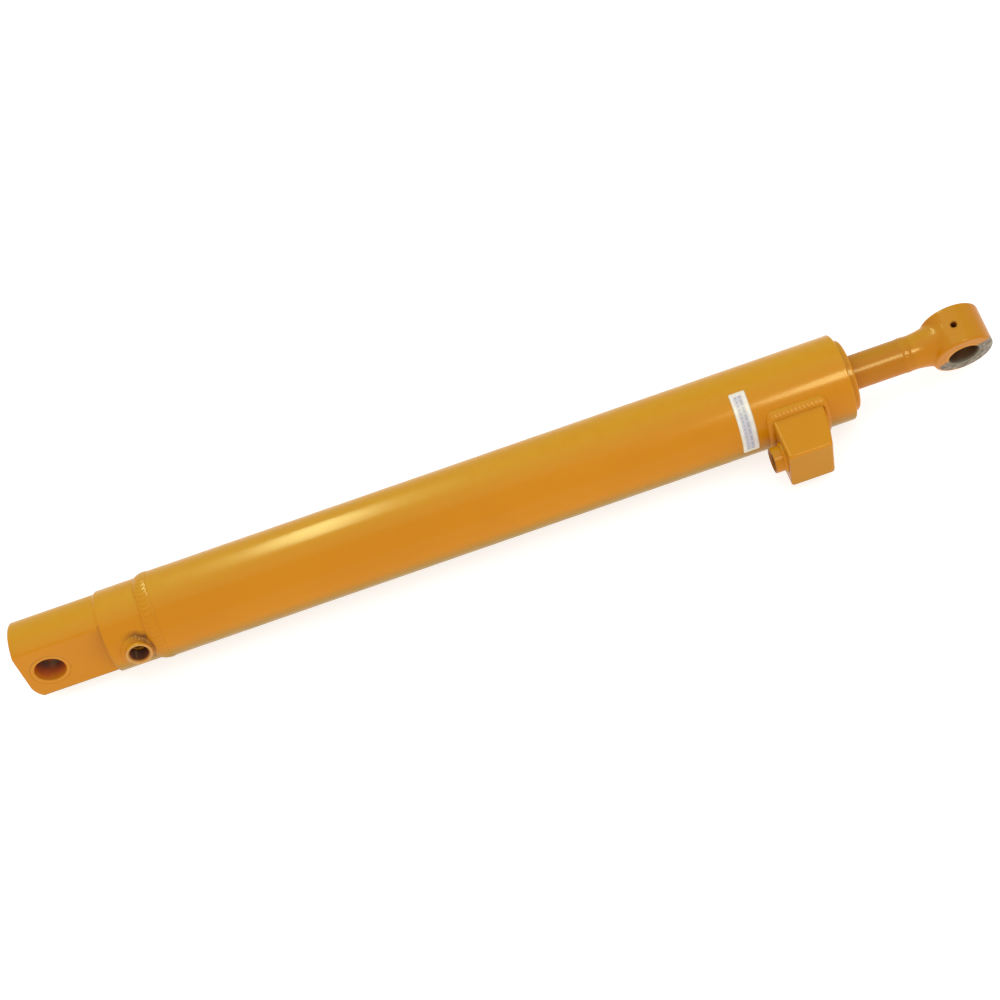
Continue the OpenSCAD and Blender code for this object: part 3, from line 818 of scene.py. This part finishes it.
def cap_distance(p):
    """Field of the milled lug, its round collar and the spigot in the tube, with bore and port."""
    x, y, z = p[..., 0], p[..., 1], p[..., 2]
    reach = np.hypot(y, z)
    lug = cut(reach - LUG_R, LUG_END - x, LUG_CORNER)
    toe = np.hypot(np.maximum(LUG_END + LUG_TOE_R - x, 0), np.maximum(LUG_TOE_R - LUG_R - z, 0))
    lug = cut(lug, toe - LUG_TOE_R)
    lug = cut(lug, np.abs(y) - FLAT_Y, 1.6)
    lug = cut(lug, x - (FLAT_END + 6))
    collar = cut(cut(reach - COLLAR_R, FLAT_END - x, 1.6), x - JOINT_X, 1.0)
    body = join(lug, collar, 1.6)
    body = join(body, cut(cut(reach - SPIGOT_R, x - SPIGOT_END, 1.0), JOINT_X - 5 - x))
    body = drill(body, np.hypot(x, z) - BUSH_R, 0.6)
    out, across = port_place(p)
    body = drill(body, cut(across - PORT_BOSS_R - SEAT_GAP, PORT_SEAT - out))
    body = drill(body, cut(across - OIL_R, -out))
    return drill(body, cut(reach - OIL_R - 1, PORT_X - x))


def make_cap():
    points, faces = skin(cap_distance, (LUG_END - 2, -COLLAR_R - 2, -COLLAR_R - 2),
                         (JOINT_X + 13, COLLAR_R + 2, COLLAR_R + 2), 0.85)
    x, y, z = points.T
    out, across = port_place(points)
    # Painted shade in the crease at the shoulder of the flats and by the seam weld's toe, and a painted
    # shadow of the port boss, stronger on its side away from the light.
    grime_and_shade = near(x, FLAT_END, 2.2) * (np.abs(y) > FLAT_Y - 2) * 0.5
    shadow_side = np.clip(0.35 + 0.07 * (x - PORT_X) + 0.03 * z, 0, 1.3)
    grime_and_shade += near(across, PORT_BOSS_R + 4.0, 6.0) * (out > 30) * shadow_side
    grime_and_shade += near(x, JOINT_X - 6, 3.0) * 0.05
    piece("lug_and_collar", points, faces, "barrel", cap_paint, ["base_cap"],
          attributes={"grime_and_shade": np.clip(grime_and_shade, 0, 1)})


def make_bush(name, place, half, body, material, node):
    outer = BUSH_R - 0.02
    profile = rounded([(-half, PIN_R, 0.6), (half, PIN_R, 0.6), (half, outer, 0.2), (-half, outer, 0.2)])
    points, faces = lathe(profile, 128, place)
    piece(name, points, faces, body, material, [node])


def make_boss(name, place, length, outer, seat, node, lit_rim=True):
    """A turned boss with a countersunk pipe thread; the frame's X points out of its mouth.

    The rim of the mouth gets a painted highlight, or when `lit_rim` is false the painted shade of its
    inside.
    """
    sink = 2.2
    thread, wave = threaded(-seat + 0.5, length - sink, PORT_R)
    profile = [
        *rounded([
            (-seat, PORT_R, 0), (-seat, outer, 0), (length, outer, 1.6),
            (length, PORT_R + 2.4, 0.4), (length - sink, PORT_R + 0.02, 0),
        ]),
        *reversed(thread),
    ]
    points, faces = lathe(profile, 96, place, wave)
    local = (points - np.array(place)[:3, 3]) @ np.array(place)[:3, :3]
    radius = np.hypot(local[:, 1], local[:, 2])
    out = local[:, 0]
    inside = np.clip((length - 0.8 - out) / 1.5, 0, 1) * (radius < PORT_R + 2.5)
    rim = near(radius, PORT_R + 2.6, 2.2) * np.clip((out - length + 1.2) / 0.8, 0, 1)
    # Without a lit rim, the rim takes the inside's painted shade.
    if not lit_rim:
        inside = np.maximum(inside, rim)
        rim = 0 * rim
    piece(name, points, faces, "barrel", boss_paint, [node],
          attributes={"inside": inside, "rim": rim})


def make_base_weld():
    angle = turns(720)
    seam = JOINT_X + 0.7 * np.sin(3 * angle + 1) + 0.5 * np.sin(7 * angle)
    bead("barrel_seam_bead", ring(JOINT_X, COLLAR_R - 0.6, angle), ring(seam - 5.5, COLLAR_R - 0.1, angle),
         ring(seam + 9.5, TUBE_R - 0.1, angle), rise=1.5, pitch=5.2, body="barrel", material=weld_paint,
         stands_for=["base_weld"], seed=1)


def make_base_port_weld():
    angle = turns(240)

    def on_collar(radius, lift=0.0):
        z = radius * np.sin(angle)
        y = -np.sqrt(COLLAR_R**2 - z**2) - lift
        return np.stack([PORT_X + radius * np.cos(angle), y, z], -1) @ port_rotation.T

    shadowed = 1.3 * np.clip(np.cos(angle - 0.5), 0, 1) ** 1.2
    bead("base_port_bead", on_collar(PORT_BOSS_R, -0.2), on_collar(PORT_BOSS_R + 4.2, -0.1),
         on_collar(PORT_BOSS_R - 0.1, 3.4), rise=0.8, pitch=3.4, body="barrel", material=weld_paint,
         stands_for=["base_port_weld"], seed=2, dirt_and_shade=shadowed)


# ---------------------------------------------------------------- head end

head_frame = Matrix.Rotation(HEAD_TURN, 4, "X")
head_rotation = np.array(head_frame)[:3, :3]


def from_head(x, reach, across):
    """Rows of points given along the tube, out along the block, and across it."""
    local = np.stack([x + 0 * reach, -reach + 0 * x, across + 0 * x], -1)
    return local @ head_rotation.T


def block_distance(p):
    """Field of the port block: a box saddled on the tube, tapered at one end, with its passages."""
    local = p @ head_rotation
    x, reach, across = local[..., 0], -local[..., 1], local[..., 2]
    rise = BLOCK_REACH - BLOCK_TAPER_START
    slope = math.hypot(BLOCK_TAPER, rise)
    taper = ((x - BLOCK_END) * rise + (reach - BLOCK_TAPER_START) * BLOCK_TAPER) / slope
    ends = cut(cut(x - BLOCK_END, taper, 6.0), BLOCK_X - x)
    body = cut(ends, np.abs(across) - BLOCK_HALF, BLOCK_CORNER)
    body = cut(body, reach - BLOCK_REACH, 2.4)
    body = cut(body, TUBE_R + 0.02 - np.hypot(reach, across))
    body = cut(body, -reach)
    port = np.hypot(across, reach - HEAD_PORT_REACH)
    body = drill(body, cut(port - HEAD_BOSS_R - SEAT_GAP, x - BLOCK_X - HEAD_SEAT))
    body = drill(body, cut(port - OIL_R, x - PASSAGE_X))
    return drill(body, cut(np.hypot(across, x - PASSAGE_X) - PASSAGE_R, reach - HEAD_PORT_REACH))


def make_block():
    points, faces = skin(block_distance, block_low - 2, block_high + 2, 0.62)
    local = points @ head_rotation
    reach, across = -local[:, 1], local[:, 2]
    # Painted shade along the foot of the block on the tube and round the boss on its end face; the whole
    # end face, turned away from the light, is painted darker.
    grime_and_shade = near(np.hypot(reach, across), TUBE_R + 5, 3.5) * 0.2
    port = np.hypot(across, reach - HEAD_PORT_REACH)
    grime_and_shade += near(port, HEAD_BOSS_R + 2, 3.0) * (local[:, 0] < BLOCK_X + 2) * 0.5
    grime_and_shade += (local[:, 0] < BLOCK_X + 0.8) * 0.35
    piece("port_block", points, faces, "barrel", block_paint, ["head_port_block"],
          attributes={"grime_and_shade": np.clip(grime_and_shade, 0, 1)})


def block_outline(count):
    """Points and outward directions round the block's footprint, evenly spaced."""
    half_x, half_y = (BLOCK_END - BLOCK_X) / 2 - BLOCK_CORNER, BLOCK_HALF - BLOCK_CORNER
    centre_x = (BLOCK_END + BLOCK_X) / 2
    path = []
    for quarter, (sx, sy) in enumerate(((1, 1), (-1, 1), (-1, -1), (1, -1))):
        for k in range(9):
            turn = math.pi / 2 * (quarter + k / 8)
            path.append((centre_x + sx * half_x, sy * half_y, math.cos(turn), math.sin(turn)))
    path = np.array(path)
    spot = path[:, :2] + BLOCK_CORNER * path[:, 2:]
    step = np.linalg.norm(np.roll(spot, -1, 0) - spot, axis=1)
    travel = np.concatenate([[0], np.cumsum(step)])
    want = np.linspace(0, travel[-1], count, endpoint=False)
    outline = np.hstack([spot, path[:, 2:]])
    closed = np.vstack([outline, outline[:1]])
    rows = np.stack([np.interp(want, travel, closed[:, k]) for k in range(4)], -1)
    rows[:, 2:] /= np.linalg.norm(rows[:, 2:], axis=1, keepdims=True)
    return rows


def make_block_weld():
    rows = block_outline(520)
    x, across, out_x, out_y = rows.T

    def on_tube(offset, lift):
        side = across + offset * out_y
        reach = np.sqrt(np.maximum(TUBE_R**2 - side**2, 0)) + lift
        return from_head(x + offset * out_x, reach, side)

    bead("block_seam_bead", on_tube(-0.1, -0.2), on_tube(5.2, -0.1), on_tube(-0.1, 5.0),
         rise=1.4, pitch=4.2, body="barrel", material=block_weld_paint, stands_for=["head_block_weld"],
         seed=3, ripple=0.20)


def make_head_boss_weld():
    angle = turns(200)

    def on_face(radius, out):
        reach = np.minimum(HEAD_PORT_REACH + radius * np.cos(angle), BLOCK_REACH - 1.2)
        return from_head(BLOCK_X - out + 0 * angle, reach, radius * np.sin(angle))

    bead("head_boss_bead", on_face(HEAD_BOSS_R, -0.2), on_face(HEAD_BOSS_R + 2.8, -0.1),
         on_face(HEAD_BOSS_R - 0.1, 2.6), rise=0.7, pitch=3.0, body="barrel", material=weld_paint,
         stands_for=["head_boss_weld"], seed=4)


def make_label():
    """A thin film on the tube with rounded corners and a little lift at its ends."""
    start = math.pi - math.asin(label_high[2] / TUBE_R)
    end = math.pi - math.asin(label_low[2] / TUBE_R)
    rows, columns, corner, skew = 120, 14, 1.8, 0.8
    centre = (label_low[0] + label_high[0]) / 2
    half = (label_high[0] - label_low[0]) / 2
    length = (end - start) * TUBE_R
    outer, inner, uv = [], [], []
    for i in range(rows + 1):
        t = i / rows
        from_end = min(t, 1 - t) * length
        inset = corner - math.sqrt(max(corner**2 - max(corner - from_end, 0) ** 2, 0))
        angle = start + (end - start) * t
        for j in range(columns + 1):
            s = 2 * j / columns - 1
            x = centre + s * (half - inset) + skew * (0.5 - t)
            lift = 0.12 * max(0, 1 - from_end / 4) + 0.03 * math.sin(9 * t + 3 * s) ** 2
            for rows_out, radius in ((outer, TUBE_R + 0.28 + lift), (inner, TUBE_R + 0.02)):
                rows_out.append((x, radius * math.cos(angle), radius * math.sin(angle)))
            uv.append((t, 0.5 + 0.5 * s * (half - inset) / half))
    wide = columns + 1
    count = len(outer)
    faces = []
    for i in range(rows):
        for j in range(columns):
            a = i * wide + j
            faces.append((a, a + 1, a + wide + 1, a + wide))
            faces.append((count + a + wide, count + a + wide + 1, count + a + 1, count + a))
    rim = list(range(wide))
    rim += [i * wide + columns for i in range(1, rows + 1)]
    rim += [rows * wide + j for j in range(columns - 1, -1, -1)]
    rim += [i * wide for i in range(rows - 1, 0, -1)]
    for a, b in zip(rim, rim[1:] + rim[:1]):
        faces.append((a, b, count + b, count + a))
    piece("label_film", outer + inner, faces, "barrel", label_print, ["label"], uv=uv + uv)


# ---------------------------------------------------------------- rod and eye


def make_rod():
    """The rod, thinner through the piston and the nut, and bevelled where the eye is welded on."""
    low, high = box_mm("piston")
    piston_start, piston_end = low[0], high[0]
    thread_r, spigot_r = 13.5, 14.0
    bevel = 4.0
    profile = rounded([
        (ROD_START, 0.0, 0), (ROD_START, thread_r, 1.0), (piston_start, thread_r, 0),
        (piston_start, spigot_r, 0), (piston_end, spigot_r, 0), (piston_end, ROD_R, 0.6),
        (ROD_WELD_X - bevel, ROD_R, 0), (ROD_WELD_X, ROD_R - bevel, 0), (ROD_WELD_X, 0.0, 0),
    ])
    points, faces = lathe(profile, 160)
    piece("rod_shaft", points, faces, "rod", rod_surface, ["piston_rod"])


eye_frame = Matrix.Rotation(EYE_TURN, 4, "X")
eye_rotation = np.array(eye_frame)[:3, :3]
neck_rise = math.sqrt(EYE_R**2 - NECK_END**2) - 0.15 - ROD_R
neck_run = NECK_END - NECK_START
neck_arc = (neck_run**2 + neck_rise**2) / (2 * neck_rise)


def eye_distance(p):
    """Field of the eye: a disc across the rod, joined by a neck that flares in an arc."""
    local = (p - np.array([EYE_X, 0, 0])) @ eye_rotation
    x, y, z = local[..., 0], local[..., 1], local[..., 2]
    around = np.hypot(x, z)
    disc = cut(around - EYE_R, np.abs(y) - EYE_HALF, 2.6)
    reach = np.hypot(y, z)
    gone = np.clip(x - NECK_START, 0, neck_run)
    flare = np.sqrt(neck_arc**2 - gone**2)
    neck = (reach - (ROD_R + neck_arc - flare)) * flare / neck_arc
    neck = cut(cut(neck, ROD_WELD_X - EYE_X - x), x - NECK_END)
    neck = cut(neck, np.abs(y) - EYE_HALF, 3.5)
    body = join(disc, neck, 1.8)
    body = drill(body, around - BUSH_R, 0.8)
    return drill(body, cut(np.hypot(x - GREASE_X, y) - GREASE_R, -z), 0.7)


def make_eye():
    points, faces = skin(eye_distance, eye_low - (0, 2, 2), eye_high + 2, 0.68)
    local = (points - np.array([EYE_X, 0, 0])) @ eye_rotation
    x, y, z = local.T
    grime_and_shade = near(np.hypot(x - GREASE_X, y), GREASE_R, 1.6) * (z > 20)
    grime_and_shade += near(x, ROD_WELD_X - EYE_X + 5, 3.0) * 0.15
    piece("eye_forging", points, faces, "rod", eye_paint, ["rod_eye"],
          attributes={"grime_and_shade": np.clip(grime_and_shade, 0, 1)})


def make_eye_weld():
    angle = turns(240)
    bead("eye_seam_bead", ring(ROD_WELD_X, ROD_R - 1.2, angle), ring(ROD_WELD_X - 4.6, ROD_R - 0.1, angle),
         ring(ROD_WELD_X + 4.6, ROD_R - 0.1, angle), rise=0.45, pitch=3.4, body="rod",
         material=rod_weld_paint, stands_for=["rod_eye_weld"], seed=5)


make_tube()
make_cap()
make_bush("base_pin_bush", axis_frame((0, 0, 0), (0, 1, 0), (0, 0, 1)), FLAT_Y - 0.15, "barrel",
          base_bush_steel, "base_bush")
port_out = port_rotation @ np.array([0.0, -1.0, 0.0])
make_boss("base_oil_boss", axis_frame((PORT_X, *(port_out[1:] * COLLAR_R)), port_out, (0, 0, 1)),
          PORT_MOUTH - COLLAR_R, PORT_BOSS_R, COLLAR_R - PORT_SEAT, "base_port_boss")
make_base_weld()
make_base_port_weld()
make_block()
make_block_weld()
head_boss_centre = head_frame @ Vector((BLOCK_X, -HEAD_PORT_REACH, 0))
# The head boss's mouth, turned away from the light, gets painted shade rather than a highlight.
make_boss("head_oil_boss", axis_frame(head_boss_centre, (-1, 0, 0), (0, 0, 1)),
          BLOCK_X - head_boss_low[0], HEAD_BOSS_R, HEAD_SEAT, "head_port_boss", lit_rim=False)
make_head_boss_weld()
make_label()
make_rod()
make_eye()
make_eye_weld()
make_bush("eye_pin_bush", axis_frame((EYE_X, 0, 0), eye_bore_axis, (1, 0, 0)), EYE_HALF - 0.2, "rod",
          eye_bush_steel, "rod_eye_bush")

# ---------------------------------------------------------------- CAD nodes that keep their shape

KEPT = {
    "gland": gland_paint,
    "gland_retaining_ring": black_oxide,
    "gland_o_ring": nitrile,
    "gland_backup_ring": filled_ptfe,
    "rod_seal": polyurethane,
    "rod_wiper": nitrile,
    "rod_guide_ring": guide_resin,
    "piston_seal": filled_ptfe,
    "piston_energiser_ring": nitrile,
    "piston_guide_ring_rear": guide_resin,
    "piston_guide_ring_front": guide_resin,
    "piston": machined,
    "piston_nut": machined,
    "nut_lock_screw": black_oxide,
    "piston_o_ring": nitrile,
}
for node_name, node_material in KEPT.items():
    node_mesh = frame["nodes"][node_name].data
    node_mesh.materials.clear()
    node_mesh.materials.append(node_material)

# ---------------------------------------------------------------- stage, lights and camera

CAMERA_ELEVATION = math.radians(46.0)
CAMERA_ROLL = math.radians(19.15)
CAMERA_LENS = 67.7
CAMERA_DISTANCE = 1.90
AIM = Vector((0.481, 0.0, 0.0))
AIM_DROP = 0.0045
FLOOR_HALF = 12.0
FLOOR_GAP = 0.0015


def make_floor():
    half = FLOOR_HALF
    mesh = bpy.data.meshes.new("floor")
    corners = [(-half, -half, 0), (half, -half, 0), (half, half, 0), (-half, half, 0)]
    mesh.from_pydata(corners, [], [(0, 1, 2, 3)])
    floor = bpy.data.objects.new("floor", mesh)
    floor.location = (0.5, 0, cad_box[0][2] - FLOOR_GAP)
    bpy.context.scene.collection.objects.link(floor)
    s = Shader("pale_floor")
    tone = s.noise(3.0, 2.0)
    s.set(
        Base_Color=s.mix(tone, (0.52, 0.52, 0.52), (0.50, 0.50, 0.50)),
        Roughness=0.9,
        Specular_IOR_Level=0.1,
        Emission_Color=(1.0, 1.0, 1.0),
        Emission_Strength=0.72,
    )
    mesh.materials.append(s.material)


def area_light(name, place, target, width, height, power, colour=(1, 1, 1), gloss_only=False):
    """An elliptical lamp facing its target; `gloss_only` lamps are seen in highlights alone."""
    data = bpy.data.lights.new(name, "AREA")
    data.shape = "ELLIPSE"
    data.size, data.size_y = width, height
    data.energy = power
    data.color = colour
    light = bpy.data.objects.new(name, data)
    light.location = place
    back = (Vector(place) - Vector(target)).normalized()
    tall = back.cross(Vector((1, 0, 0))).normalized()
    light.rotation_euler = Matrix((tall.cross(back), tall, back)).transposed().to_euler()
    light.visible_diffuse = not gloss_only
    bpy.context.scene.collection.objects.link(light)


def make_lights():
    world = bpy.data.worlds.new("studio")
    world.use_nodes = True
    background = world.node_tree.nodes["Background"]
    background.inputs["Color"].default_value = (1.0, 1.0, 1.0, 1.0)
    background.inputs["Strength"].default_value = 0.88
    bpy.context.scene.world = world
    area_light("rear_softbox", (0.10, 1.03, 1.73), (0.297, 0, 0), width=0.20, height=1.50, power=32.0,
               colour=(0.94, 1.0, 0.46), gloss_only=True)
    area_light("front_strip", (1.22, -0.99, 1.20), (0.87, 0, 0), width=0.48, height=0.50, power=19.0,
               colour=(1.0, 0.93, 0.40), gloss_only=True)
    area_light("overhead", (0.48, -0.2, 2.6), (0.48, 0, 0), width=3.4, height=2.6, power=14.0)


def make_camera():
    away = Vector((0, -math.cos(CAMERA_ELEVATION), math.sin(CAMERA_ELEVATION)))
    level_up = Vector((0, math.sin(CAMERA_ELEVATION), math.cos(CAMERA_ELEVATION)))
    along = Vector((1, 0, 0))
    right = along * math.cos(CAMERA_ROLL) - level_up * math.sin(CAMERA_ROLL)
    up = along * math.sin(CAMERA_ROLL) + level_up * math.cos(CAMERA_ROLL)
    place = AIM - level_up * AIM_DROP + away * CAMERA_DISTANCE
    data = bpy.data.cameras.new("camera")
    data.lens = CAMERA_LENS
    data.sensor_width = 36.0
    data.clip_start = 0.01
    data.clip_end = 50.0
    camera = bpy.data.objects.new("camera", data)
    camera.matrix_world = frame_of(right, up, away, place)
    bpy.context.scene.collection.objects.link(camera)
    bpy.context.scene.camera = camera


make_floor()
make_lights()
make_camera()
bpy.context.scene.view_settings.view_transform = "Standard"
